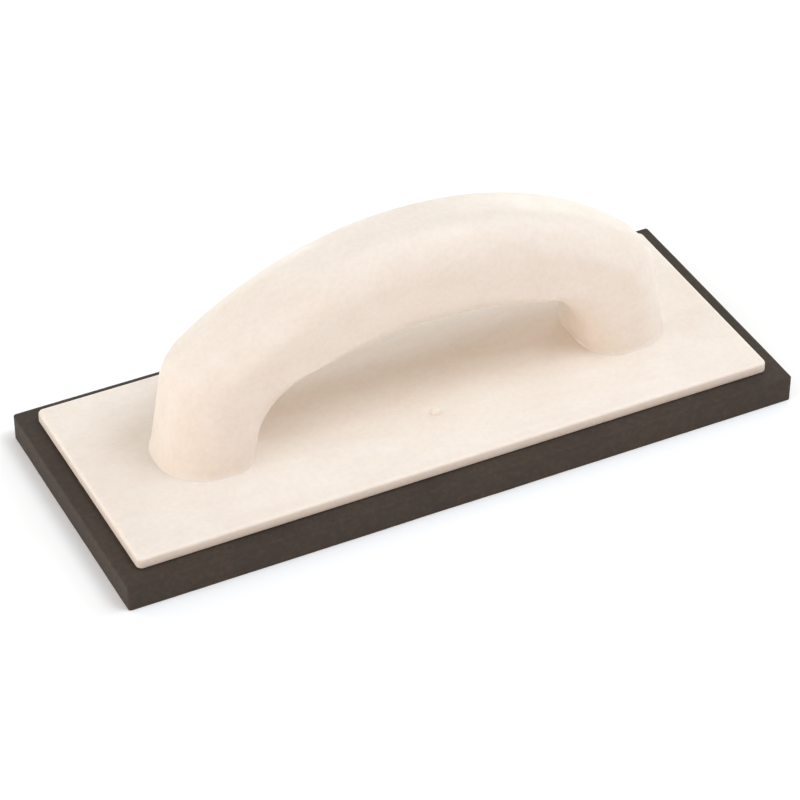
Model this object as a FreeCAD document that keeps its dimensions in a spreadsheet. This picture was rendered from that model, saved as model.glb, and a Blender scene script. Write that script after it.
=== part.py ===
import FreeCAD, Part
import math
import os
import Sketcher

# Rubber hand float: an arched plastic handle on a plastic backing plate, cemented to a rubber pad.
# +X runs along the float, +Z is up, and the origin is the centre of the pad's working face.

doc = FreeCAD.newDocument("rubber_float")

# ---------------------------------------------------------------- driving dimensions (mm, degrees)

sheet = doc.addObject("Spreadsheet::Sheet", "Dimensions")

DIMENSIONS = [
    ("pad_length", 241.3, "working face, 9-1/2 in"),
    ("pad_width", 98.0, "working face"),
    ("pad_thickness", 9.5, "3/8 in rubber"),
    ("pad_corner", 1.2, "radius of the pad's upright corners"),
    ("pad_edge", 0.5, "rounding of the pad's top edge"),
    ("film_thickness", 0.3, "contact cement"),
    ("film_inset", 1.5, "how far the cement stops short of the plate's edge"),
    ("ledge", 6.35, "rubber that shows all round the plate, 1/4 in"),
    ("plate_thickness", 4.0, "backing plate"),
    ("plate_corner", 2.0, "radius of the plate's upright corners"),
    ("plate_edge", 1.2, "rounding of the plate's top edge"),
    ("handle_width", 34.5, "handle across the float, at its feet"),
    ("side_draft", 1.6, "draft on the handle's two sides"),
    ("handle_shift", 2.5, "how far the handle stands off centre, towards +X"),
    ("foot_outer", 92.5, "handle's centre to the outer end of a foot, at the plate"),
    ("foot_inner", 60.5, "handle's centre to the inner end of a foot, at the plate"),
    ("outer_lean", 10.5, "lean of the legs' outer faces"),
    ("inner_lean", 5.0, "lean of the legs' inner faces"),
    ("crown_height", 67.2, "plate to the top of the grip"),
    ("crown_radius", 125.0, "arc along the top of the grip"),
    ("shoulder_radius", 12.5, "arc from the grip's top into a leg"),
    ("soffit_height", 33.0, "plate to the underside of the grip"),
    ("soffit_radius", 215.0, "arc along the underside of the grip"),
    ("knuckle_radius", 28.0, "arc from the grip's underside into a leg"),
    ("outer_round", 12.5, "rounding along the outer edges"),
    ("inner_round", 8.0, "rounding along the inner edges"),
    ("screw_reach", 69.25, "handle's centre to the inner screws"),
    ("screw_pitch", 14.5, "distance between a foot's two screws"),
    ("screw_length", 19.0, "head to point"),
    ("screw_shank", 4.2, "shank diameter, number 8"),
    ("screw_head", 8.2, "head diameter"),
    ("screw_point", 4.0, "length of the tapered point"),
    ("screw_tip", 0.4, "radius of the point's flat end"),
    ("recess_span", 4.4, "cross recess, tip to tip"),
    ("recess_slot", 1.1, "cross recess, slot width"),
    ("recess_depth", 1.5, "cross recess depth"),
    ("clearance_hole", 4.6, "screw hole through the plate"),
    ("countersink", 8.3, "countersink in the plate's underside"),
    ("pilot_spare", 1.0, "pilot hole past the screw's point"),
    ("gate_diameter", 3.8, "moulding gate mark on the plate, in front of the grip's middle"),
    ("gate_height", 1.8, "how far the gate mark stands up"),
    ("gate_offset", 17.5, "gate mark in front of the float's long axis"),
]

for row, (alias, value, note) in enumerate(DIMENSIONS, start=1):
    sheet.set(f"A{row}", alias)
    sheet.set(f"B{row}", str(value))
    sheet.set(f"C{row}", note)
    sheet.setAlias(f"B{row}", alias)
doc.recompute()


def size(alias):
    """The value of one cell of the sheet."""
    return float(sheet.get(alias))


def cell(formula):
    """An expression in which every alias is read from the sheet, as in cell('{ledge} * 2')."""
    aliases = {alias: f"Dimensions.{alias}" for alias, _, _ in DIMENSIONS}
    return formula.format(**aliases)


# Heights of the layers, and the handle's place along the float, as expressions.
FILM_BASE = "{pad_thickness}"
PLATE_BASE = "{pad_thickness} + {film_thickness}"
HANDLE_BASE = "{pad_thickness} + {film_thickness} + {plate_thickness}"
HANDLE_CENTRE = "{handle_shift}"

CLOSE = 1e-4             # lengths closer than this are the same
THINNEST = 0.1           # shorter edges than this aren't a layer's upright corners
WEDGE_REACH = 1.5        # a draft wedge's outer corner, in half widths of the handle


# ---------------------------------------------------------------- helpers

def new_body(label, base_height=None, along=None):
    """A body whose Label is the node's name, lifted to base_height and moved along the float."""
    body = doc.addObject("PartDesign::Body", label)
    body.Label = label
    if base_height:
        body.setExpression("Placement.Base.z", cell(base_height))
    if along:
        body.setExpression("Placement.Base.x", cell(along))
    return body


def origin_plane(body, role):
    """One of the body's own origin planes."""
    return next(item for item in body.Origin.OriginFeatures if item.Role == role)


def new_sketch(body, name, role):
    """A sketch on one of the body's origin planes."""
    sketch = body.newObject("Sketcher::SketchObject", name)
    sketch.AttachmentSupport = [(origin_plane(body, role), "")]
    sketch.MapMode = "FlatFace"
    return sketch


def constrain(sketch, kind, *refs, name=None, formula=None):
    """Adds one constraint, and binds it to the sheet when it has a formula."""
    index = sketch.addConstraint(Sketcher.Constraint(kind, *refs))
    if name:
        sketch.renameConstraint(index, name)
        sketch.setExpression(f"Constraints.{name}", cell(formula))
    return index


def point(x, y):
    return FreeCAD.Vector(x, y, 0)


def line(sketch, start, end):
    return sketch.addGeometry(Part.LineSegment(point(*start), point(*end)), False)


def arc(sketch, centre, radius, first, last):
    """An arc that runs anticlockwise from angle first to angle last, in radians."""
    circle = Part.Circle(point(*centre), FreeCAD.Vector(0, 0, 1), radius)
    return sketch.addGeometry(Part.ArcOfCircle(circle, first, last), False)


START, END, CENTRE = 1, 2, 3
X_AXIS, Y_AXIS = -1, -2
ORIGIN = (-1, 1)


def centred_rectangle(sketch, length_formula, width_formula, length, width):
    """A rectangle about the sketch's origin, with its length and width bound to the sheet."""
    corners = [(-length / 2, -width / 2), (length / 2, -width / 2)]
    corners += [(length / 2, width / 2), (-length / 2, width / 2)]
    sides = [line(sketch, corners[k], corners[(k + 1) % 4]) for k in range(4)]
    for k in range(4):
        constrain(sketch, "Coincident", sides[k], END, sides[(k + 1) % 4], START)
    for k in (0, 2):
        constrain(sketch, "Horizontal", sides[k])
    for k in (1, 3):
        constrain(sketch, "Vertical", sides[k])
    constrain(sketch, "Symmetric", sides[0], START, sides[2], START, *ORIGIN)
    constrain(sketch, "DistanceX", sides[0], START, sides[0], END, length,
              name="Length", formula=length_formula)
    constrain(sketch, "DistanceY", sides[1], START, sides[1], END, width,
              name="Width", formula=width_formula)
    return sides


def pad_sketch(body, name, sketch, formula, centred=False):
    """Extrudes a sketch by a length from the sheet."""
    pad = body.newObject("PartDesign::Pad", name)
    pad.Profile = sketch
    if centred:
        pad.SideType = "Symmetric"
    pad.setExpression("Length", cell(formula))
    sketch.Visibility = False
    doc.recompute()
    return pad


def edges_where(feature, test):
    """The names of the feature's edges that pass a test."""
    edges = feature.Shape.Edges
    return [f"Edge{k}" for k, edge in enumerate(edges, start=1) if test(edge)]


def is_upright(edge):
    box = edge.BoundBox
    return box.ZLength > THINNEST and box.XLength < CLOSE and box.YLength < CLOSE


def lies_at(edge, height):
    box = edge.BoundBox
    return abs(box.ZMin - height) < CLOSE and abs(box.ZMax - height) < CLOSE


def rim_edges(feature, outside):
    """The long edges of the arch's two sides: round its outside, or round its opening.

    An edge belongs to the outside when it stays beyond the opening's outline, whose widest
    half-length is at the plate and whose top is the underside of the grip.
    """
    middle_top = (size("crown_height") + size("soffit_height")) / 2
    middle_foot = (size("foot_outer") + size("foot_inner")) / 2
    top_lean = size("crown_height") * math.tan(math.radians(size("side_draft")))

    def test(edge):
        box = edge.BoundBox
        on_side = min(abs(box.YMin), abs(box.YMax)) > size("handle_width") / 2 - size("outer_round")
        if not on_side or box.YLength > 2 * top_lean or box.ZMax < CLOSE:
            return False
        beyond = box.ZMax > middle_top or max(abs(box.XMin), abs(box.XMax)) > middle_foot
        return beyond == outside

    return edges_where(feature, test)


def fillet(body, name, feature, edges, formula):
    """Rounds edges of the feature by a radius from the sheet."""
    rounding = body.newObject("PartDesign::Fillet", name)
    rounding.Base = (feature, edges)
    rounding.setExpression("Radius", cell(formula))
    doc.recompute()
    return rounding


def slab(label, base_height, length_formula, width_formula, thickness, corner):
    """A flat rectangular layer with rounded upright corners."""
    body = new_body(label, base_height)
    sketch = new_sketch(body, label + "_outline", "XY_Plane")
    centred_rectangle(sketch, length_formula, width_formula, size("pad_length"), size("pad_width"))
    block = pad_sketch(body, label + "_block", sketch, thickness)
    rounded = fillet(body, label + "_corners", block, edges_where(block, is_upright), corner)
    return body, rounded


# ---------------------------------------------------------------- rubber pad, cement, backing plate

def make_rubber_pad():
    """The working pad: square below, its top edge just softened."""
    body, block = slab("rubber_pad", None, "{pad_length}", "{pad_width}",
                       "{pad_thickness}", "{pad_corner}")
    top = edges_where(block, lambda edge: lies_at(edge, size("pad_thickness")))
    fillet(body, "pad_top_edge", block, top, "{pad_edge}")
    return body


def make_adhesive_film():
    """The cement between the pad and the plate, just short of the plate's edge."""
    body, _ = slab("adhesive_film", FILM_BASE,
                   "{pad_length} - 2 * ({ledge} + {film_inset})",
                   "{pad_width} - 2 * ({ledge} + {film_inset})",
                   "{film_thickness}", "{plate_corner} - {film_inset}")
    return body


def screw_columns(shift="0"):
    """Where the four screws stand along X, from the left foot to the right one."""
    near = "{screw_reach}"
    far = "({screw_reach} + {screw_pitch})"
    return [f"{shift} - {far}", f"{shift} - {near}", f"{shift} + {near}", f"{shift} + {far}"]


def screw_circles(sketch, formula, diameter, shift="0", shift_length=0.0):
    """One circle for each screw, on the float's long axis, about a centre moved by shift."""
    near = size("screw_reach")
    far = near + size("screw_pitch")
    places = zip(screw_columns(shift), (-far, -near, near, far))
    for number, (place, reach) in enumerate(places, start=1):
        along = shift_length + reach
        circle = Part.Circle(point(along, 0), FreeCAD.Vector(0, 0, 1), diameter / 2)
        ring = sketch.addGeometry(circle, False)
        constrain(sketch, "PointOnObject", ring, CENTRE, X_AXIS)
        constrain(sketch, "DistanceX", *ORIGIN, ring, CENTRE, along,
                  name=f"Column{number}", formula=place)
        constrain(sketch, "Diameter", ring, diameter, name=f"Bore{number}", formula=formula)


def make_backing_plate():
    """The moulded plate, with a soft top edge, a gate mark and four countersunk screw holes."""
    body, block = slab("backing_plate", PLATE_BASE,
                       "{pad_length} - 2 * {ledge}", "{pad_width} - 2 * {ledge}",
                       "{plate_thickness}", "{plate_corner}")
    top = edges_where(block, lambda edge: lies_at(edge, size("plate_thickness")))
    fillet(body, "plate_top_edge", block, top, "{plate_edge}")

    gate = new_sketch(body, "gate_mark", "XY_Plane")
    middle = point(size("handle_shift"), -size("gate_offset"))
    circle = Part.Circle(middle, FreeCAD.Vector(0, 0, 1), size("gate_diameter") / 2)
    ring = gate.addGeometry(circle, False)
    constrain(gate, "DistanceX", *ORIGIN, ring, CENTRE, size("handle_shift"),
              name="Along", formula=HANDLE_CENTRE)
    constrain(gate, "DistanceY", ring, CENTRE, *ORIGIN, size("gate_offset"),
              name="Offset", formula="{gate_offset}")
    constrain(gate, "Diameter", ring, size("gate_diameter"),
              name="Across", formula="{gate_diameter}")
    pad_sketch(body, "gate_stub", gate, "{plate_thickness} + {gate_height}")

    bores = new_sketch(body, "screw_hole_centres", "XY_Plane")
    screw_circles(bores, "{clearance_hole}", size("clearance_hole"),
                  HANDLE_CENTRE, size("handle_shift"))
    doc.recompute()
    holes = body.newObject("PartDesign::Hole", "screw_holes")
    holes.Profile = bores
    holes.Threaded = False
    holes.ThreadType = "None"
    holes.DepthType = "ThroughAll"
    holes.Reversed = True
    holes.HoleCutType = "Countersink"
    holes.HoleCutCustomValues = True
    holes.setExpression("Diameter", cell("{clearance_hole}"))
    holes.setExpression("HoleCutDiameter", cell("{countersink}"))
    bores.Visibility = False
    doc.recompute()
    return body


# ---------------------------------------------------------------- handle

def arch_points(foot, lean, height, crown, shoulder):
    """One side of an arch: a leaning leg, a shoulder arc and a crown arc centred on x = 0.

    Returns the leg's upper end, the shoulder's centre and the angle where the two arcs meet.
    """
    tilt = math.radians(lean)
    outward = (math.cos(tilt), math.sin(tilt))
    upward = (-math.sin(tilt), math.cos(tilt))
    low = (foot - shoulder * outward[0], -shoulder * outward[1] - (height - crown))
    along = low[0] * upward[0] + low[1] * upward[1]
    span = crown - shoulder
    rise = -along + math.sqrt(along ** 2 - (low[0] ** 2 + low[1] ** 2 - span ** 2))
    leg_top = (foot + rise * upward[0], rise * upward[1])
    centre = (leg_top[0] - shoulder * outward[0], leg_top[1] - shoulder * outward[1])
    meet = math.atan2(centre[1] - (height - crown), centre[0])
    return leg_top, centre, meet


def draw_arch(sketch, prefix, foot, lean, height, crown, shoulder):
    """Draws a whole arch, left leg to right leg, and binds it to the sheet.

    foot, lean, height, crown and shoulder are aliases. Returns the two legs' line numbers.
    """
    values = [size(alias) for alias in (foot, lean, height, crown, shoulder)]
    leg_top, centre, meet = arch_points(*values)
    tilt = math.radians(values[1])
    left_leg = line(sketch, (-values[0], 0), (-leg_top[0], leg_top[1]))
    left_shoulder = arc(sketch, (-centre[0], centre[1]), values[4], math.pi - meet, math.pi - tilt)
    crown_arc = arc(sketch, (0, values[2] - values[3]), values[3], meet, math.pi - meet)
    right_shoulder = arc(sketch, centre, values[4], tilt, meet)
    right_leg = line(sketch, (values[0], 0), leg_top)

    constrain(sketch, "Tangent", left_leg, END, left_shoulder, END)
    constrain(sketch, "Tangent", left_shoulder, START, crown_arc, END)
    constrain(sketch, "Tangent", crown_arc, START, right_shoulder, END)
    constrain(sketch, "Tangent", right_shoulder, START, right_leg, END)
    constrain(sketch, "Symmetric", left_leg, START, right_leg, START, Y_AXIS)
    constrain(sketch, "Symmetric", left_leg, END, right_leg, END, Y_AXIS)
    constrain(sketch, "PointOnObject", right_leg, START, X_AXIS)
    constrain(sketch, "PointOnObject", crown_arc, CENTRE, Y_AXIS)
    constrain(sketch, "DistanceX", *ORIGIN, right_leg, START, values[0],
              name=prefix + "Foot", formula="{" + foot + "}")
    constrain(sketch, "Radius", right_shoulder, values[4],
              name=prefix + "Shoulder", formula="{" + shoulder + "}")
    constrain(sketch, "Radius", crown_arc, values[3],
              name=prefix + "Crown", formula="{" + crown + "}")
    constrain(sketch, "DistanceY", crown_arc, CENTRE, *ORIGIN, values[3] - values[2],
              name=prefix + "Drop", formula="{" + crown + "} - {" + height + "}")
    constrain(sketch, "Angle", right_leg, math.pi / 2 + tilt,
              name=prefix + "Lean", formula="(90 + {" + lean + "}) * 1 deg")
    return left_leg, right_leg


def draw_side_wedges(sketch):
    """Two thin wedges that leave the arch narrower at the top of the grip than at its feet."""
    half, height = size("handle_width") / 2, size("crown_height")
    slope = math.tan(math.radians(size("side_draft")))
    for name, side in (("Front", -1), ("Back", 1)):
        foot = (side * half, 0)
        top = (side * (half - slope * height), height)
        outside = (side * half * WEDGE_REACH, height)
        edges = [line(sketch, foot, top), line(sketch, top, outside), line(sketch, outside, foot)]
        for k in range(3):
            constrain(sketch, "Coincident", edges[k], END, edges[(k + 1) % 3], START)
        constrain(sketch, "PointOnObject", edges[0], START, X_AXIS)
        constrain(sketch, "Horizontal", edges[1])
        for edge, label, share in ((edges[0], "Half", 1), (edges[2], "Reach", WEDGE_REACH)):
            ends = (*ORIGIN, edge, START) if side > 0 else (edge, START, *ORIGIN)
            constrain(sketch, "DistanceX", *ends, half * share, name=name + label,
                      formula="{handle_width} / 2 * " + str(share))
        constrain(sketch, "DistanceY", edges[0], START, edges[0], END, height,
                  name=name + "Height", formula="{crown_height}")
        constrain(sketch, "Angle", edges[0], math.pi / 2 + side * math.atan(slope),
                  name=name + "Draft", formula="(90 + " + str(side) + " * {side_draft}) * 1 deg")


def make_handle():
    """The arched handle: one solid moulding, two feet and a grip, with pilot holes for the screws."""
    body = new_body("handle", HANDLE_BASE, HANDLE_CENTRE)
    side = new_sketch(body, "handle_side", "XZ_Plane")
    outer_left, outer_right = draw_arch(side, "Outer", "foot_outer", "outer_lean",
                                        "crown_height", "crown_radius", "shoulder_radius")
    inner_left, inner_right = draw_arch(side, "Inner", "foot_inner", "inner_lean",
                                        "soffit_height", "soffit_radius", "knuckle_radius")
    foot = (size("foot_outer"), size("foot_inner"))
    left_sole = line(side, (-foot[0], 0), (-foot[1], 0))
    right_sole = line(side, (foot[1], 0), (foot[0], 0))
    constrain(side, "Coincident", left_sole, START, outer_left, START)
    constrain(side, "Coincident", left_sole, END, inner_left, START)
    constrain(side, "Coincident", right_sole, START, inner_right, START)
    constrain(side, "Coincident", right_sole, END, outer_right, START)
    block = pad_sketch(body, "handle_block", side, "{handle_width}", centred=True)

    taper = new_sketch(body, "handle_taper", "YZ_Plane")
    draw_side_wedges(taper)
    draft = body.newObject("PartDesign::Pocket", "handle_draft")
    draft.Profile = taper
    draft.SideType = "Symmetric"
    draft.setExpression("Length", cell("3 * {foot_outer}"))
    taper.Visibility = False
    doc.recompute()

    outer = fillet(body, "outer_rounding", draft, rim_edges(draft, outside=True), "{outer_round}")
    fillet(body, "inner_rounding", outer, rim_edges(outer, outside=False), "{inner_round}")

    bores = new_sketch(body, "pilot_centres", "XY_Plane")
    screw_circles(bores, "{screw_shank}", size("screw_shank"))
    pilots = body.newObject("PartDesign::Pocket", "pilot_holes")
    pilots.Profile = bores
    pilots.Reversed = True
    pilots.setExpression("Length", cell("{screw_length} - {plate_thickness} + {pilot_spare}"))
    bores.Visibility = False
    doc.recompute()
    return body


# ---------------------------------------------------------------- screws

def make_screw(number, column):
    """A countersunk screw with a cross recess, point up, its head flush under the plate."""
    body = new_body(f"handle_screw_{number}", PLATE_BASE, column)
    head, shank = size("screw_head") / 2, size("screw_shank") / 2
    tip, length, taper = size("screw_tip"), size("screw_length"), size("screw_point")
    outline = [(0, 0), (head, 0), (shank, head - shank), (shank, length - taper),
               (tip, length), (0, length)]
    side = new_sketch(body, f"screw_{number}_side", "XZ_Plane")
    count = len(outline)
    sides = [line(side, outline[k], outline[(k + 1) % count]) for k in range(count)]
    for k in range(count):
        constrain(side, "Coincident", sides[k], END, sides[(k + 1) % count], START)
    face, cone, body_line, point_line, end, axis = sides
    constrain(side, "Coincident", face, START, *ORIGIN)
    constrain(side, "Horizontal", face)
    constrain(side, "Vertical", body_line)
    constrain(side, "Horizontal", end)
    constrain(side, "Vertical", axis)
    constrain(side, "DistanceX", face, START, face, END, head, name="Head", formula="{screw_head} / 2")
    constrain(side, "DistanceY", cone, START, cone, END, head - shank,
              name="Cone", formula="({screw_head} - {screw_shank}) / 2")
    constrain(side, "DistanceX", *ORIGIN, cone, END, shank, name="Shank", formula="{screw_shank} / 2")
    constrain(side, "DistanceX", end, END, end, START, tip, name="Tip", formula="{screw_tip}")
    constrain(side, "DistanceY", *ORIGIN, end, END, length, name="Length", formula="{screw_length}")
    constrain(side, "DistanceY", point_line, START, point_line, END, taper,
              name="Taper", formula="{screw_point}")
    turned = body.newObject("PartDesign::Revolution", f"screw_{number}_turned")
    turned.Profile = side
    turned.ReferenceAxis = (side, ["V_Axis"])
    turned.Angle = 360
    side.Visibility = False
    doc.recompute()

    for name, across, along in (("slot_x", "{recess_span}", "{recess_slot}"),
                                ("slot_y", "{recess_slot}", "{recess_span}")):
        slot = new_sketch(body, f"screw_{number}_{name}", "XY_Plane")
        centred_rectangle(slot, across, along, size("recess_span"), size("recess_slot"))
        cut = body.newObject("PartDesign::Pocket", f"screw_{number}_{name}_cut")
        cut.Profile = slot
        cut.Reversed = True
        cut.setExpression("Length", cell("{recess_depth}"))
        slot.Visibility = False
        doc.recompute()
    return body


# ---------------------------------------------------------------- build, check, write

PIECES = [make_rubber_pad(), make_adhesive_film(), make_backing_plate(), make_handle()]
for number, column in enumerate(screw_columns(HANDLE_CENTRE), start=1):
    PIECES.append(make_screw(number, column))
doc.recompute()

for item in doc.Objects:
    if "Invalid" in item.State or "Error" in item.State:
        raise RuntimeError(f"{item.Name} failed: {item.State}")
    if item.TypeId == "Sketcher::SketchObject" and not item.FullyConstrained:
        raise RuntimeError(f"{item.Name} isn't fully constrained")
for piece in PIECES:
    if piece.Shape.isNull() or not piece.Shape.isValid() or len(piece.Shape.Solids) != 1:
        raise RuntimeError(f"{piece.Label} isn't one valid solid")

os.makedirs("parts", exist_ok=True)
for piece in PIECES:
    piece.Shape.exportStep(f"parts/{piece.Label}.step")
    box = piece.Shape.optimalBoundingBox()
    print(f"{piece.Label}: {box.XLength:.2f} x {box.YLength:.2f} x {box.ZLength:.2f} mm,"
          f" z {box.ZMin:.2f} to {box.ZMax:.2f}, volume {piece.Shape.Volume / 1000:.2f} cm3")
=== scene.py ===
import math

import bmesh
import bpy
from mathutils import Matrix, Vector, noise


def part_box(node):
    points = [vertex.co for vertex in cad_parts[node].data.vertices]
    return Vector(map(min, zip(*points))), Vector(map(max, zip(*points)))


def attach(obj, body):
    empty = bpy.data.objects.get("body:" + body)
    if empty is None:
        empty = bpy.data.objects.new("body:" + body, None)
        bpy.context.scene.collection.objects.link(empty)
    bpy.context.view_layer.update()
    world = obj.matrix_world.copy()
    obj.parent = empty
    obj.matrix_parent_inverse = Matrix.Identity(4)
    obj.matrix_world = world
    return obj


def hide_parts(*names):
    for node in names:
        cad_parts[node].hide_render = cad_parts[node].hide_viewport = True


# A rubber hand float: an arched plastic handle on a plastic backing plate over a rubber pad.
# Metres throughout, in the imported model's own frame: +X along the float, +Z up from the working face.

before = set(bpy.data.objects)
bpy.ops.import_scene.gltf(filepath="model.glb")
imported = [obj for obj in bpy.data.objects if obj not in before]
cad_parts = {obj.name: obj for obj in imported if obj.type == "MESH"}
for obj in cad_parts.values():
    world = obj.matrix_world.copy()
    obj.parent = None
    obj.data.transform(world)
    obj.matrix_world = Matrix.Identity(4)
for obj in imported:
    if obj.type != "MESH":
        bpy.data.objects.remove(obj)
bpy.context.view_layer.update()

MM = 0.001
handle_low, handle_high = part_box("handle")
plate_low, plate_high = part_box("backing_plate")
pad_low, pad_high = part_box("rubber_pad")
film_low, film_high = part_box("adhesive_film")
plate_top = handle_low.z
handle_centre = (handle_low.x + handle_high.x) / 2
screws = sorted(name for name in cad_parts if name.startswith("handle_screw"))


# ---------------------------------------------------------------- node helpers

def new_material(name):
    """A node material with its Principled shader and the object's own coordinates."""
    material = bpy.data.materials.new(name)
    material.use_nodes = True
    tree = material.node_tree
    shader = tree.nodes["Principled BSDF"]
    place = tree.nodes.new("ShaderNodeTexCoord").outputs["Object"]
    return material, tree, shader, place


def stretched(tree, place, scale):
    """Coordinates scaled per axis, so that a pattern runs long in one direction."""
    mapping = tree.nodes.new("ShaderNodeMapping")
    mapping.inputs["Scale"].default_value = scale
    tree.links.new(place, mapping.inputs["Vector"])
    return mapping.outputs["Vector"]


def noise_field(tree, place, scale, detail=3.0, rough=0.5, distortion=0.0):
    """A cloudy value between 0 and 1. A larger scale makes finer clouds."""
    node = tree.nodes.new("ShaderNodeTexNoise")
    node.inputs["Scale"].default_value = scale
    node.inputs["Detail"].default_value = detail
    node.inputs["Roughness"].default_value = rough
    node.inputs["Distortion"].default_value = distortion
    tree.links.new(place, node.inputs["Vector"])
    return node.outputs["Fac"]


def ramp(tree, value, stops):
    """A colour ramp through (position, colour) stops."""
    node = tree.nodes.new("ShaderNodeValToRGB")
    elements = node.color_ramp.elements
    while len(elements) < len(stops):
        elements.new(0.5)
    for element, (position, colour) in zip(elements, stops):
        element.position = position
        element.color = (*colour, 1.0)
    tree.links.new(value, node.inputs["Fac"])
    return node.outputs["Color"]


def blend_colours(tree, kind, share, first, second):
    """Mixes two colours. share is a number or an output."""
    node = tree.nodes.new("ShaderNodeMix")
    node.data_type = "RGBA"
    node.blend_type = kind
    colour_inputs = [socket for socket in node.inputs if socket.type == "RGBA"]
    if isinstance(share, (int, float)):
        node.inputs["Factor"].default_value = share
    else:
        tree.links.new(share, node.inputs["Factor"])
    tree.links.new(first, colour_inputs[0])
    tree.links.new(second, colour_inputs[1])
    return next(socket for socket in node.outputs if socket.type == "RGBA")


def remap(tree, value, low, high, start=0.3, stop=0.7):
    """A value between low and high as the input goes from start to stop."""
    node = tree.nodes.new("ShaderNodeMapRange")
    node.inputs["From Min"].default_value = start
    node.inputs["From Max"].default_value = stop
    node.inputs["To Min"].default_value = low
    node.inputs["To Max"].default_value = high
    tree.links.new(value, node.inputs["Value"])
    return node.outputs["Result"]


def bump(tree, height, distance, strength, below=None):
    """A bumped normal, laid over the bump below it where one is given."""
    node = tree.nodes.new("ShaderNodeBump")
    node.inputs["Strength"].default_value = strength
    node.inputs["Distance"].default_value = distance
    tree.links.new(height, node.inputs["Height"])
    if below is not None:
        tree.links.new(below, node.inputs["Normal"])
    return node.outputs["Normal"]


def wall_mask(tree):
    """1 on upright faces and 0 on level ones."""
    geometry = tree.nodes.new("ShaderNodeNewGeometry")
    parts = tree.nodes.new("ShaderNodeSeparateXYZ")
    tree.links.new(geometry.outputs["True Normal"], parts.inputs["Vector"])
    size = tree.nodes.new("ShaderNodeMath")
    size.operation = "ABSOLUTE"
    tree.links.new(parts.outputs["Z"], size.inputs[0])
    return remap(tree, size.outputs["Value"], 1.0, 0.0, 0.35, 0.75)


# ---------------------------------------------------------------- materials

def cream_plastic(name, flow):
    """Structural-foam plastic: creamy, faintly swirled along the mould's flow, with a satin skin."""
    material, tree, shader, place = new_material(name)
    along = stretched(tree, place, flow)
    swirl = noise_field(tree, along, 1.0, 5.0, 0.55, 1.6)
    tone = ramp(tree, swirl, [(0.28, (0.796, 0.716, 0.640)), (0.5, (0.818, 0.742, 0.668)),
                              (0.72, (0.832, 0.764, 0.698))])
    fleck = noise_field(tree, place, 620.0, 2.0, 0.6)
    flecks = ramp(tree, fleck, [(0.3, (0.955, 0.945, 0.935)), (0.62, (1.0, 1.0, 1.0))])
    colour = blend_colours(tree, "MULTIPLY", 0.8, tone, flecks)
    tree.links.new(colour, shader.inputs["Base Color"])
    cloud = noise_field(tree, place, 85.0, 3.0, 0.5)
    tree.links.new(remap(tree, cloud, 0.40, 0.56), shader.inputs["Roughness"])
    shader.inputs["Subsurface Weight"].default_value = 0.18
    shader.inputs["Subsurface Radius"].default_value = (1.0, 0.62, 0.42)
    shader.inputs["Subsurface Scale"].default_value = 1.6 * MM
    peel = noise_field(tree, place, 210.0, 2.0, 0.5)
    grain = noise_field(tree, place, 1500.0, 2.0, 0.55)
    normal = bump(tree, peel, 0.25 * MM, 0.16)
    normal = bump(tree, grain, 0.06 * MM, 0.22, normal)
    tree.links.new(normal, shader.inputs["Normal"])
    return material


def dark_rubber():
    """Brown-black rubber: matte, finely pored on its faces and sawn along its edges."""
    material, tree, shader, place = new_material("dark_rubber")
    cloud = noise_field(tree, place, 42.0, 4.0, 0.55)
    base = ramp(tree, cloud, [(0.3, (0.030, 0.021, 0.015)), (0.7, (0.049, 0.035, 0.025))])
    dust = noise_field(tree, place, 520.0, 3.0, 0.65)
    dusty = ramp(tree, dust, [(0.45, (1.0, 1.0, 1.0)), (0.78, (1.55, 1.5, 1.45))])
    colour = blend_colours(tree, "MULTIPLY", 1.0, base, dusty)
    tree.links.new(colour, shader.inputs["Base Color"])
    tree.links.new(remap(tree, cloud, 0.66, 0.84), shader.inputs["Roughness"])
    shader.inputs["Specular IOR Level"].default_value = 0.38
    pores = noise_field(tree, place, 1900.0, 3.0, 0.6)
    sawn = noise_field(tree, stretched(tree, place, (60.0, 60.0, 2600.0)), 1.0, 3.0, 0.5)
    saw_height = tree.nodes.new("ShaderNodeMath")
    saw_height.operation = "MULTIPLY"
    tree.links.new(sawn, saw_height.inputs[0])
    tree.links.new(wall_mask(tree), saw_height.inputs[1])
    normal = bump(tree, pores, 0.10 * MM, 0.45)
    normal = bump(tree, saw_height.outputs["Value"], 0.16 * MM, 0.5, normal)
    tree.links.new(normal, shader.inputs["Normal"])
    return material


def contact_cement():
    """Dried contact cement: amber, glossy in its thick places."""
    material, tree, shader, place = new_material("contact_cement")
    cloud = noise_field(tree, place, 150.0, 4.0, 0.6, 0.8)
    tree.links.new(ramp(tree, cloud, [(0.3, (0.17, 0.10, 0.035)), (0.7, (0.36, 0.24, 0.10))]),
                   shader.inputs["Base Color"])
    tree.links.new(remap(tree, cloud, 0.25, 0.6), shader.inputs["Roughness"])
    tree.links.new(bump(tree, cloud, 0.2 * MM, 0.5), shader.inputs["Normal"])
    return material


def zinc_steel():
    """Zinc-plated steel with a fine crystalline bloom."""
    material, tree, shader, place = new_material("zinc_steel")
    bloom = noise_field(tree, place, 900.0, 3.0, 0.6)
    tree.links.new(ramp(tree, bloom, [(0.3, (0.56, 0.56, 0.53)), (0.7, (0.74, 0.73, 0.70))]),
                   shader.inputs["Base Color"])
    tree.links.new(remap(tree, bloom, 0.22, 0.42), shader.inputs["Roughness"])
    shader.inputs["Metallic"].default_value = 1.0
    tree.links.new(bump(tree, bloom, 0.04 * MM, 0.3), shader.inputs["Normal"])
    return material


FLOOR_FADE = (0.40, 0.62)
FLOOR_GLOW = 0.05
FLOOR_SEGMENTS = 96


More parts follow.
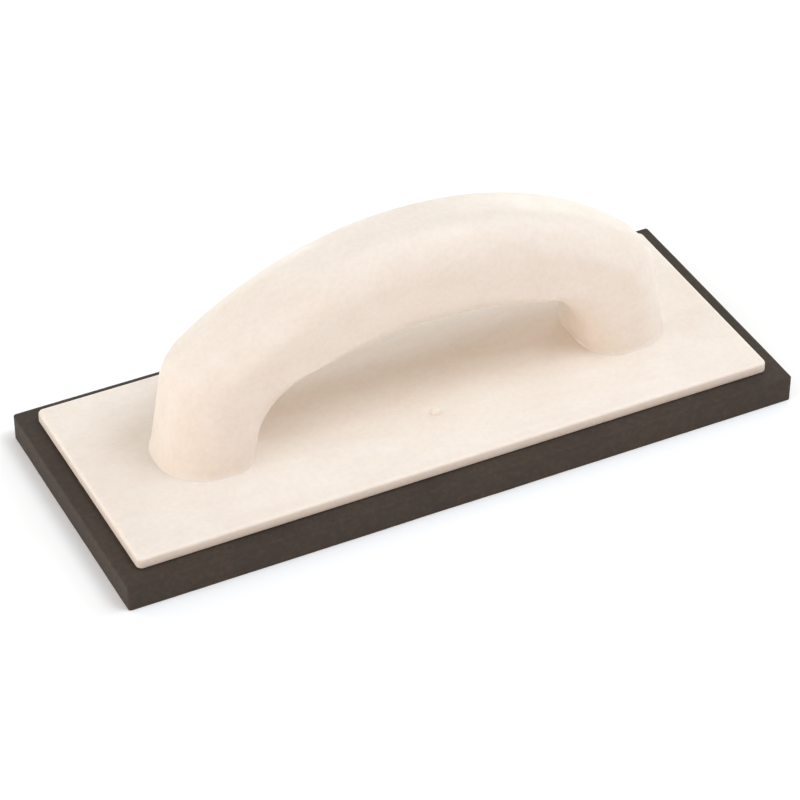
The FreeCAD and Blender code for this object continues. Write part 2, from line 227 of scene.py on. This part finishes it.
def pale_floor():
    """A round sheet of pale paper that fades out towards its rim."""
    material, tree, shader, place = new_material("pale_floor")
    reach = tree.nodes.new("ShaderNodeVectorMath")
    reach.operation = "LENGTH"
    tree.links.new(place, reach.inputs[0])
    tree.links.new(remap(tree, reach.outputs["Value"], 1.0, 0.0, *FLOOR_FADE), shader.inputs["Alpha"])
    cloud = noise_field(tree, place, 3.0, 2.0, 0.5)
    tree.links.new(ramp(tree, cloud, [(0.3, (0.945, 0.945, 0.945)), (0.7, (0.955, 0.955, 0.955))]),
                   shader.inputs["Base Color"])
    shader.inputs["Roughness"].default_value = 0.85
    shader.inputs["Specular IOR Level"].default_value = 0.2
    shader.inputs["Emission Color"].default_value = (1.0, 1.0, 1.0, 1.0)
    shader.inputs["Emission Strength"].default_value = FLOOR_GLOW
    return material


# ---------------------------------------------------------------- mesh helpers

SHARP_ANGLE = math.radians(38)


def finish_mesh(shape, name):
    """Turns a bmesh into a mesh whose faces look outward."""
    bmesh.ops.recalc_face_normals(shape, faces=shape.faces)
    mesh = bpy.data.meshes.new(name)
    shape.to_mesh(mesh)
    shape.free()
    return mesh


def shade(mesh):
    """Smooth shading, with a crease wherever faces meet sharply."""
    mesh.polygons.foreach_set("use_smooth", [True] * len(mesh.polygons))
    mesh.set_sharp_from_angle(angle=SHARP_ANGLE)


def combine(piece, operation, tool_builder):
    """Cuts a tool out of a piece, or joins it on."""
    shape = bmesh.new()
    tool_builder(shape)
    tool = bpy.data.objects.new("tool", finish_mesh(shape, "tool"))
    bpy.context.scene.collection.objects.link(tool)
    modifier = piece.modifiers.new("combine", "BOOLEAN")
    modifier.operation = operation
    modifier.solver = "EXACT"
    modifier.object = tool
    graph = bpy.context.evaluated_depsgraph_get()
    merged = bpy.data.meshes.new_from_object(piece.evaluated_get(graph))
    piece.modifiers.remove(modifier)
    piece.data = merged
    bpy.data.objects.remove(tool)
    shade(merged)


def make_piece(name, mesh_builder, material, node):
    """Makes a mesh object, rides it on the float and lets it stand for a CAD node."""
    shape = bmesh.new()
    mesh_builder(shape)
    mesh = finish_mesh(shape, name)
    mesh.materials.append(material)
    shade(mesh)
    piece = bpy.data.objects.new(name, mesh)
    bpy.context.scene.collection.objects.link(piece)
    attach(piece, "root")
    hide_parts(node)
    return piece


def skin_rings(shape, rings):
    """Joins rings of points, each with the same count, into a closed solid."""
    rows = [[shape.verts.new(spot) for spot in ring] for ring in rings]
    count = len(rows[0])
    for lower, upper in zip(rows, rows[1:]):
        for k in range(count):
            following = (k + 1) % count
            shape.faces.new((lower[k], lower[following], upper[following], upper[k]))
    shape.faces.new(rows[0])
    shape.faces.new(rows[-1])


def spin(shape, profile, centre, segments, radius_at=None):
    """Spins (radius, height) points round an upright axis. radius_at may vary the radius."""
    rings = []
    for radius, height in profile:
        ring = []
        for k in range(segments):
            turn = 2 * math.pi * k / segments
            reach = radius_at(radius, height, turn) if radius_at else radius
            ring.append(centre + Vector((reach * math.cos(turn), reach * math.sin(turn), height)))
        rings.append(ring)
    skin_rings(shape, rings)


def quarter(centre, radius, start, steps):
    """Points of a quarter circle that starts at angle start and turns anticlockwise."""
    turns = [start + math.pi / 2 * k / steps for k in range(steps + 1)]
    return [(centre[0] + radius * math.cos(turn), centre[1] + radius * math.sin(turn)) for turn in turns]


# ---------------------------------------------------------------- slabs: pad, cement, plate

EDGE_STEP = 2.0 * MM
CORNER_STEPS = 6
LEAST_CORNER = 0.15 * MM


def slab_outline(half_x, half_y, corner, inset):
    """A rounded rectangle pulled in by inset, anticlockwise, as (point, outward direction) pairs."""
    radius = max(corner - inset, LEAST_CORNER)
    core_x, core_y = half_x - inset - radius, half_y - inset - radius
    steps = (round(2 * half_x / EDGE_STEP), round(2 * half_y / EDGE_STEP))
    signs = ((1, 1), (-1, 1), (-1, -1), (1, -1))
    spots = []
    for k, (side_x, side_y) in enumerate(signs):
        middle = Vector((side_x * core_x, side_y * core_y))
        for step in range(CORNER_STEPS + 1):
            turn = math.pi / 2 * (k + step / CORNER_STEPS)
            outward = Vector((math.cos(turn), math.sin(turn)))
            spots.append((middle + radius * outward, outward))
        next_x, next_y = signs[(k + 1) % 4]
        following = Vector((next_x * core_x, next_y * core_y))
        count = steps[k % 2]
        for step in range(1, count):
            spots.append((middle.lerp(following, step / count) + radius * outward, outward))
    return spots


def slab_rings(low, high, corner, profile, wobble):
    """Rings of a slab between two corners of its box.

    profile is (inset, height) pairs from the underside's middle up and over to the top's middle.
    wobble gives how far a point of the side is pulled in.
    """
    half_x, half_y = (high.x - low.x) / 2, (high.y - low.y) / 2
    rings = []
    for inset, height in profile:
        ring = []
        for spot, outward in slab_outline(half_x, half_y, corner, inset):
            place = Vector((spot.x, spot.y, low.z + height))
            pull = wobble(place)
            place.x -= outward.x * pull
            place.y -= outward.y * pull
            ring.append(place)
        rings.append(ring)
    return rings


PAD_CORNER = 1.2 * MM
PAD_EDGE = 0.5 * MM
PAD_FOOT = 0.25 * MM
PAD_LEVELS = 6
CUT_WAVE = 0.22 * MM
CUT_RIPPLE = 0.07 * MM


def cut_edge(place):
    """The pad's sides are sawn: never quite straight, and faintly rippled."""
    wave = noise.noise(Vector((place.x * 38, place.y * 38, place.z * 12)))
    ripple = noise.noise(Vector((place.x * 210, place.y * 210, place.z * 160)))
    return CUT_WAVE * (0.5 + 0.5 * wave) + CUT_RIPPLE * (0.5 + 0.5 * ripple)


def build_pad(shape):
    """A slab with a sawn side, a nearly square top edge and a slightly worn lower one."""
    height = pad_high.z - pad_low.z
    profile = [(4 * MM, 0.0), (1 * MM, 0.0)]
    profile += [(PAD_FOOT - across, PAD_FOOT + up)
                for across, up in quarter((0, 0), PAD_FOOT, -math.pi / 2, 3)]
    for k in range(1, PAD_LEVELS):
        profile.append((0.0, PAD_FOOT + (height - PAD_FOOT - PAD_EDGE) * k / PAD_LEVELS))
    profile += [(PAD_EDGE - across, height - PAD_EDGE + up) for across, up in quarter((0, 0), PAD_EDGE, 0, 4)]
    profile += [(1.2 * MM, height), (9 * MM, height)]
    skin_rings(shape, slab_rings(pad_low, pad_high, PAD_CORNER, profile, cut_edge))


SPREAD = 1.3 * MM
FILM_CORNER = 2 * MM
FILM_SQUEEZE = 0.1 * MM


def brushed_edge(place):
    """The cement runs out unevenly towards the plate's edge."""
    wave = noise.noise(Vector((place.x * 90, place.y * 90, 4.0)))
    return SPREAD * (wave - 0.35)


def build_film(shape):
    """The thin layer of cement between the plate and the pad."""
    height = film_high.z - film_low.z
    profile = [(3 * MM, 0.0), (0.0, 0.0), (-FILM_SQUEEZE, height / 2), (0.0, height), (3 * MM, height)]
    skin_rings(shape, slab_rings(film_low, film_high, FILM_CORNER, profile, brushed_edge))


PLATE_CORNER = 2.0 * MM
PLATE_EDGE = 1.2 * MM
PLATE_FOOT = 0.3 * MM
PLATE_DRAFT = math.tan(math.radians(1.0))
SINK = 0.05 * MM


def moulded_edge(place):
    """The plate's sides are moulded: very slightly hollow between the corners."""
    wave = noise.noise(Vector((place.x * 16, place.y * 16, 9.0)))
    return SINK * (1 + wave)


def build_plate(shape):
    """A slab with drafted sides and a rounded upper edge."""
    height = plate_top - plate_low.z
    top = height - PLATE_EDGE
    profile = [(6 * MM, 0.0), (1 * MM, 0.0)]
    profile += [(PLATE_FOOT - across, PLATE_FOOT + up)
                for across, up in quarter((0, 0), PLATE_FOOT, -math.pi / 2, 3)]
    profile.append((PLATE_DRAFT * top / 2, top / 2))
    lean = PLATE_DRAFT * top
    profile += [(lean + PLATE_EDGE - across, top + up) for across, up in quarter((0, 0), PLATE_EDGE, 0, 7)]
    profile += [(lean + PLATE_EDGE + 0.6 * MM, height), (6 * MM, height)]
    skin_rings(shape, slab_rings(plate_low, plate_high, PLATE_CORNER, profile, moulded_edge))


GATE_OFFSET = 17.5 * MM
GATE_RADIUS = 1.9 * MM
GATE_ROOT = 0.5 * MM
GATE_SEGMENTS = 28
COUNTERSINK = 4.15 * MM
CLEARANCE = 2.3 * MM
SPARE = 1 * MM
HOLE_SEGMENTS = 40


def build_gate_stub(shape):
    """The stub where the sprue was snapped off: a low dome with an uneven broken top."""
    rise = plate_high.z - plate_top
    base = Vector((handle_centre, -GATE_OFFSET, plate_top))
    dome = [(1.0, 0.0), (0.97, 0.22), (0.90, 0.44), (0.78, 0.66), (0.60, 0.84), (0.36, 0.96), (0.1, 0.995)]
    profile = [(GATE_RADIUS, -GATE_ROOT)] + [(GATE_RADIUS * out, rise * up) for out, up in dome]

    def broken(radius, height, turn):
        share = max(0.0, height / rise)
        return radius * (1 - 0.1 * share * (1 + math.sin(2 * turn) + 0.4 * math.sin(5 * turn + 1)))

    spin(shape, profile, base, GATE_SEGMENTS, broken)


def build_screw_holes(shape):
    """Countersunk holes, wide at the plate's underside."""
    slope_end = COUNTERSINK - CLEARANCE
    for name in screws:
        low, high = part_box(name)
        base = Vector(((low.x + high.x) / 2, 0, plate_low.z))
        through = plate_top - base.z + SPARE
        profile = [(COUNTERSINK + SPARE, -SPARE), (CLEARANCE, slope_end), (CLEARANCE, through)]
        spin(shape, profile, base, HOLE_SEGMENTS)


# ---------------------------------------------------------------- handle

CROWN_RADIUS = 125 * MM
SHOULDER_RADIUS = 12.5 * MM
OUTER_LEAN = math.radians(10.5)
FOOT_INNER = 60.5 * MM
SOFFIT_HEIGHT = 33 * MM
SOFFIT_RADIUS = 215 * MM
KNUCKLE_RADIUS = 28 * MM
INNER_LEAN = math.radians(5)
SIDE_DRAFT = math.tan(math.radians(1.6))
OUTER_ROUND = (14.5 * MM, 12.5 * MM)
INNER_ROUND = (12 * MM, 8 * MM)
OUTER_BLEND = 45 * MM
INNER_BLEND = 33 * MM
CROWN_DROP = 1.6 * MM
SIDE_SWELL = 0.3 * MM
FLARE = 0.35 * MM
FLARE_HEIGHT = 1.4 * MM
SINK_MARK = 0.14 * MM
PILOT_RADIUS = 2.1 * MM
PILOT_DEPTH = 16 * MM
PILOT_POINT = 1.2 * MM
PILOT_SEGMENTS = 32
LEG_EASE = 1.7
LEG_STEPS = 16
SHOULDER_STEPS = 18
CROWN_STEPS = 60
TOP_STEPS = 6
OUTER_STEPS = 14
SIDE_STEPS = 9
INNER_STEPS = 9
SOFFIT_STEPS = 4


def arch_half(foot, lean, height, crown, shoulder):
    """Points of half an arch, from its foot at (foot, 0) to its top at (0, height)."""
    outward = Vector((math.cos(lean), math.sin(lean)))
    upward = Vector((-math.sin(lean), math.cos(lean)))
    low = Vector((foot, crown - height)) - shoulder * outward
    along = low.dot(upward)
    rise = -along + math.sqrt(along ** 2 - low.length_squared + (crown - shoulder) ** 2)
    leg_top = Vector((foot, 0)) + rise * upward
    centre = leg_top - shoulder * outward
    crown_centre = Vector((0, height - crown))
    meet = math.atan2(centre.y - crown_centre.y, centre.x)
    points = [Vector((foot, 0)).lerp(leg_top, (k / LEG_STEPS) ** LEG_EASE) for k in range(LEG_STEPS)]
    for k in range(SHOULDER_STEPS):
        turn = lean + (meet - lean) * k / SHOULDER_STEPS
        points.append(centre + shoulder * Vector((math.cos(turn), math.sin(turn))))
    for k in range(CROWN_STEPS + 1):
        turn = meet + (math.pi / 2 - meet) * k / CROWN_STEPS
        points.append(crown_centre + crown * Vector((math.cos(turn), math.sin(turn))))
    return points


def whole_arch(*arguments):
    """Both halves, from the right foot over the top to the left foot."""
    half = arch_half(*arguments)
    return half + [Vector((-spot.x, spot.y)) for spot in reversed(half[:-1])]


def blended(at_foot, above, height, blend):
    """A rounding that changes from the foot up to the height where the blend ends."""
    share = min(1.0, height / blend)
    share *= share * (3 - 2 * share)
    return at_foot + (above - at_foot) * share


def grip_ring(outer, inner, half_width):
    """A ring of points round the grip: a flat middle above and below, with large roundings."""
    depth = (outer - inner).length
    up = (outer - inner) / depth
    outer_round = blended(*OUTER_ROUND, outer.y, OUTER_BLEND)
    inner_round = blended(*INNER_ROUND, inner.y, INNER_BLEND)
    flat_top, flat_under = half_width - outer_round, half_width - inner_round
    side = [(depth, flat_top * k / TOP_STEPS) for k in range(TOP_STEPS)]
    for k in range(OUTER_STEPS):
        turn = math.pi / 2 * k / OUTER_STEPS
        side.append((depth - outer_round * (1 - math.cos(turn)), flat_top + outer_round * math.sin(turn)))
    for k in range(SIDE_STEPS):
        side.append((depth - outer_round - (depth - outer_round - inner_round) * k / SIDE_STEPS, half_width))
    for k in range(INNER_STEPS):
        turn = math.pi / 2 * k / INNER_STEPS
        side.append((inner_round * (1 - math.sin(turn)), flat_under + inner_round * math.cos(turn)))
    side += [(0.0, flat_under * (1 - k / SOFFIT_STEPS)) for k in range(SOFFIT_STEPS + 1)]
    ring = []
    for sign, places in ((1, side), (-1, side[-2:0:-1])):
        for along, across in places:
            share = along / depth
            across += SIDE_SWELL * (across / half_width) ** 3 * (1 - (2 * share - 1) ** 2)
            along -= CROWN_DROP * (across / half_width) ** 2 * share
            spot = inner + up * along
            ring.append(Vector((spot.x, sign * across, spot.y)))
    return ring


def build_handle(shape):
    """An arch of rings, drafted towards its top, faintly hollowed by sink and flared at its feet."""
    foot_outer = handle_high.x - handle_centre
    foot_half_width = handle_high.y
    outer = whole_arch(foot_outer, OUTER_LEAN, handle_high.z - plate_top, CROWN_RADIUS, SHOULDER_RADIUS)
    inner = whole_arch(FOOT_INNER, INNER_LEAN, SOFFIT_HEIGHT, SOFFIT_RADIUS, KNUCKLE_RADIUS)
    rings = []
    for outside, inside in zip(outer, inner):
        ring = grip_ring(outside, inside, foot_half_width)
        middle = (outside.x + inside.x) / 2
        for spot in ring:
            spot.y *= 1 - SIDE_DRAFT * spot.z / foot_half_width
            reach = Vector((spot.x - middle, spot.y))
            pull = SINK_MARK * (1 + noise.noise(spot * 45)) * min(1, spot.z / FLARE_HEIGHT)
            if spot.z < FLARE_HEIGHT:
                pull -= FLARE * (1 - spot.z / FLARE_HEIGHT) ** 2
            spot.y *= 1 - pull / reach.length
            if spot.z < FLARE_HEIGHT:
                spot.x = middle + reach.x * (1 - pull / reach.length)
            spot.x += handle_centre
            spot.z += plate_top
        rings.append(ring)
    skin_rings(shape, rings)


def build_pilot_holes(shape):
    """Blind holes up into the feet, with a drill-point end."""
    for name in screws:
        low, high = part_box(name)
        base = Vector(((low.x + high.x) / 2, 0, plate_top))
        profile = [(PILOT_RADIUS, -SPARE), (PILOT_RADIUS, PILOT_DEPTH - PILOT_POINT), (0.1 * MM, PILOT_DEPTH)]
        spin(shape, profile, base, PILOT_SEGMENTS)


# ---------------------------------------------------------------- screws

HEAD_RADIUS = 4.1 * MM
HEAD_RIM = 0.05 * MM
SHANK_RADIUS = 1.95 * MM
THREAD_CREST = 2.08 * MM
THREAD_ROOT = 1.5 * MM
THREAD_PITCH = 1.7 * MM
THREAD_SHARPNESS = 3.2
POINT_LENGTH = 4 * MM
NECK_END = 3.2 * MM
TURN_STEPS = 8
SCREW_SEGMENTS = 28
RECESS_REACH = 2.2 * MM
RECESS_HALF_SLOT = 0.55 * MM
RECESS_DEPTH = 1.5 * MM
RECESS_NARROWS = 0.45


def screw_builder(node):
    """A wood screw, point up: countersunk head, short neck, helical thread and a gimlet point."""
    low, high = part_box(node)
    length = high.z - low.z
    base = Vector(((low.x + high.x) / 2, (low.y + high.y) / 2, low.z))

    def threaded(radius, height, turn):
        if height < NECK_END or radius < THREAD_ROOT * 0.2:
            return radius
        phase = (height / THREAD_PITCH - turn / (2 * math.pi)) % 1
        crest = max(0.0, 1 - abs(phase - 0.5) * THREAD_SHARPNESS)
        room = min(1, (height - NECK_END) / THREAD_PITCH) * min(1, (length - height) / POINT_LENGTH + 0.1)
        return radius + (THREAD_CREST - THREAD_ROOT) * crest * room

    head_end = HEAD_RADIUS - SHANK_RADIUS
    profile = [(HEAD_RADIUS - HEAD_RIM, 0.0), (HEAD_RADIUS - HEAD_RIM, HEAD_RIM), (SHANK_RADIUS, head_end),
               (THREAD_ROOT + 0.3 * MM, NECK_END - 0.2 * MM)]
    steps = TURN_STEPS * round((length - NECK_END) / THREAD_PITCH)
    for k in range(steps + 1):
        height = NECK_END + (length - NECK_END) * k / steps
        taper = min(1, (length - height) / POINT_LENGTH)
        profile.append((max(THREAD_ROOT * taper, 0.12 * MM), height))
    return lambda shape: spin(shape, profile, base, SCREW_SEGMENTS, threaded)


def recess_builder(node):
    """A cross recess that narrows as it goes in."""
    low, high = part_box(node)
    base = Vector(((low.x + high.x) / 2, (low.y + high.y) / 2, low.z))
    reach, slot = RECESS_REACH, RECESS_HALF_SLOT
    arm = [(reach, -slot), (reach, slot), (slot, slot)]

    def ring(scale, height):
        spots = []
        for k in range(4):
            turn = math.pi / 2 * k
            for x, y in arm:
                x, y = x * scale, y * (0.6 + 0.4 * scale)
                spots.append(base + Vector((x * math.cos(turn) - y * math.sin(turn),
                                            x * math.sin(turn) + y * math.cos(turn), height)))
        return spots

    rings = [ring(1.0, -0.3 * MM), ring(1.0, 0.1 * MM), ring(RECESS_NARROWS, RECESS_DEPTH)]
    return lambda shape: skin_rings(shape, rings)


# ---------------------------------------------------------------- camera, lights, floor

LAMP_DISTANCE = 1.4
LAMP_SIZE = 0.7
LAMP_TARGET = Vector((0, 0, 0.03))
ROOM_LIGHT = (1.0, 0.76, 0.60)
ROOM_STRENGTH = 0.49
PAPER = (0.88, 0.88, 0.89)
# Soft boxes round the float: compass bearing from +Y towards +X, elevation, strength, colour.
LAMPS = [
    ("top", 0, 90, 0.09, (0.45, 0.78, 1.0)),
    ("key", 135, 60, 0.425, (0.81, 0.91, 0.99)),
    ("right", 95, 35, 0.25, (0.76, 0.91, 1.0)),
    ("left", 268, 35, 0.24, (0.42, 0.74, 1.0)),
    ("low_left", 262, 12, 0.27, (1.0, 0.76, 0.54)),
    ("low_front", 195, 15, 0.125, (1.0, 0.97, 0.97)),
    ("back_left", 315, 12, 0.17, (0.88, 1.0, 1.0)),
    ("back", 0, 12, 0.18, (0.88, 1.0, 1.0)),
    ("back_right", 45, 12, 0.18, (0.88, 1.0, 1.0)),
]


def add_lamp(name, bearing, elevation, strength, colour):
    """A round soft box. Strength 1 lights a white card that faces it to a brightness of 1."""
    light = bpy.data.lights.new(name, "AREA")
    light.shape = "DISK"
    light.size = LAMP_SIZE
    light.energy = strength * (math.pi * LAMP_DISTANCE) ** 2
    light.color = colour
    turn, rise = math.radians(bearing), math.radians(elevation)
    toward = Vector((math.sin(turn) * math.cos(rise), math.cos(turn) * math.cos(rise), math.sin(rise)))
    lamp = bpy.data.objects.new(name, light)
    lamp.location = LAMP_TARGET + LAMP_DISTANCE * toward
    lamp.rotation_euler = (-toward).to_track_quat("-Z", "Y").to_euler()
    lamp.visible_camera = False
    bpy.context.scene.collection.objects.link(lamp)


def add_studio():
    """The room's light, the soft boxes and the floor."""
    scene = bpy.context.scene
    world = bpy.data.worlds.new("studio")
    world.use_nodes = True
    background = world.node_tree.nodes["Background"]
    background.inputs["Color"].default_value = (*ROOM_LIGHT, 1.0)
    background.inputs["Strength"].default_value = ROOM_STRENGTH
    # Beyond the floor the camera sees plain pale paper, while the room lights the float warmly.
    paper = world.node_tree.nodes.new("ShaderNodeBackground")
    either = world.node_tree.nodes.new("ShaderNodeMixShader")
    ray = world.node_tree.nodes.new("ShaderNodeLightPath")
    links = world.node_tree.links
    paper.inputs["Color"].default_value = (*PAPER, 1.0)
    links.new(ray.outputs["Is Camera Ray"], either.inputs["Fac"])
    links.new(background.outputs["Background"], either.inputs[1])
    links.new(paper.outputs["Background"], either.inputs[2])
    links.new(either.outputs["Shader"], world.node_tree.nodes["World Output"].inputs["Surface"])
    scene.world = world
    scene.view_settings.view_transform = "Standard"
    for lamp in LAMPS:
        add_lamp(*lamp)

    mesh = bpy.data.meshes.new("floor")
    shape = bmesh.new()
    bmesh.ops.create_circle(shape, cap_ends=True, segments=FLOOR_SEGMENTS, radius=FLOOR_FADE[1])
    shape.to_mesh(mesh)
    shape.free()
    floor = bpy.data.objects.new("floor", mesh)
    floor.location.z = pad_low.z
    mesh.materials.append(pale_floor())
    scene.collection.objects.link(floor)


CAMERA_TURN = math.radians(26.53)
CAMERA_HEIGHT = math.radians(37.87)
CAMERA_DISTANCE = 1.121
CAMERA_LENS = 151.0
LOOK_AT = Vector((0.0, 0.0039, 0.0049))


def add_camera():
    """Looks down on the float from its front left, through a long lens."""
    turn, height = CAMERA_TURN, CAMERA_HEIGHT
    ahead = Vector((math.sin(turn) * math.cos(height), math.cos(turn) * math.cos(height), -math.sin(height)))
    lens = bpy.data.cameras.new("camera")
    lens.lens = CAMERA_LENS
    lens.sensor_width = 36.0
    camera = bpy.data.objects.new("camera", lens)
    camera.location = LOOK_AT - CAMERA_DISTANCE * ahead
    camera.rotation_euler = (math.pi / 2 - height, 0, -turn)
    bpy.context.scene.collection.objects.link(camera)
    bpy.context.scene.camera = camera


# ---------------------------------------------------------------- build

handle_plastic = cream_plastic("handle_plastic", (38.0, 110.0, 60.0))
plate_plastic = cream_plastic("plate_plastic", (26.0, 70.0, 200.0))
steel = zinc_steel()

make_piece("pad_rubber", build_pad, dark_rubber(), "rubber_pad")
make_piece("cement_film", build_film, contact_cement(), "adhesive_film")

plate = make_piece("plate_moulding", build_plate, plate_plastic, "backing_plate")
combine(plate, "UNION", build_gate_stub)
combine(plate, "DIFFERENCE", build_screw_holes)

grip = make_piece("handle_grip", build_handle, handle_plastic, "handle")
combine(grip, "DIFFERENCE", build_pilot_holes)

for number, node in enumerate(screws, start=1):
    screw = make_piece(f"float_screw_{number}", screw_builder(node), steel, node)
    combine(screw, "DIFFERENCE", recess_builder(node))

add_studio()
add_camera()
